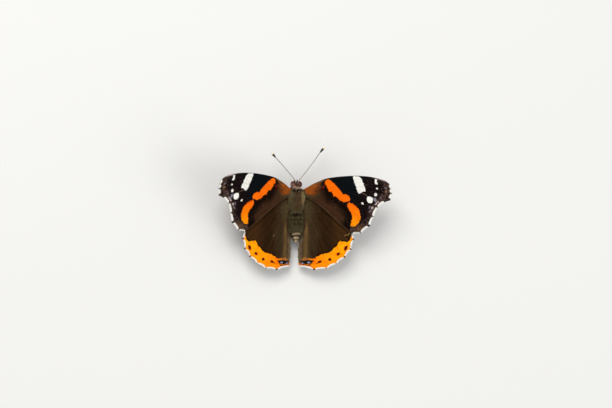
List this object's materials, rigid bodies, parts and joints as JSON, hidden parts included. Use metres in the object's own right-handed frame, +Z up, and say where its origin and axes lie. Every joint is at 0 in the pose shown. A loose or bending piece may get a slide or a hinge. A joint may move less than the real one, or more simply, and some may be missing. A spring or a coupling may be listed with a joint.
{
  "type": "red admiral butterfly, still model",
  "caption": "Life-size still model of a dark butterfly basking with open wings, standing on its legs, feelers spread.",
  "frame": {"origin": "on the floor, under the middle of the model's bounding box", "axes": "+X towards the animal's left wing tip, -Y towards its head, +Z up"},
  "size_m": [0.0612, 0.0426, 0.02],
  "materials": {
    "head_scales": "short matt scales, reddish brown with pale tufts",
    "eye": "glossy dark brown compound eye",
    "feeler": "dark brown with narrow pale rings",
    "body_fur": "soft olive-brown hair",
    "abdomen_scales": "matt olive-grey scales in rings",
    "forewing": "matt scales, black and brown with an orange-red band and white marks",
    "hindwing": "matt scales, dark brown with an orange border",
    "leg": "brown with fine scales"
  },
  "bodies": {
    "root": {"head": "head_scales", "eye_left": "eye", "eye_right": "eye", "palp_left": "head_scales", "palp_right": "head_scales", "proboscis": "feeler", "antenna_left": "feeler", "antenna_right": "feeler", "thorax": "body_fur", "abdomen": "abdomen_scales", "forewing_left": "forewing", "forewing_right": "forewing", "hindwing_left": "hindwing", "hindwing_right": "hindwing", "foreleg_left": "body_fur", "foreleg_right": "body_fur", "midleg_femur_left": "leg", "midleg_femur_right": "leg", "midleg_tibia_left": "leg", "midleg_tibia_right": "leg", "midleg_tarsus_left": "leg", "midleg_tarsus_right": "leg", "hindleg_femur_left": "leg", "hindleg_femur_right": "leg", "hindleg_tibia_left": "leg", "hindleg_tibia_right": "leg", "hindleg_tarsus_left": "leg", "hindleg_tarsus_right": "leg"}
  },
  "joints": []
}
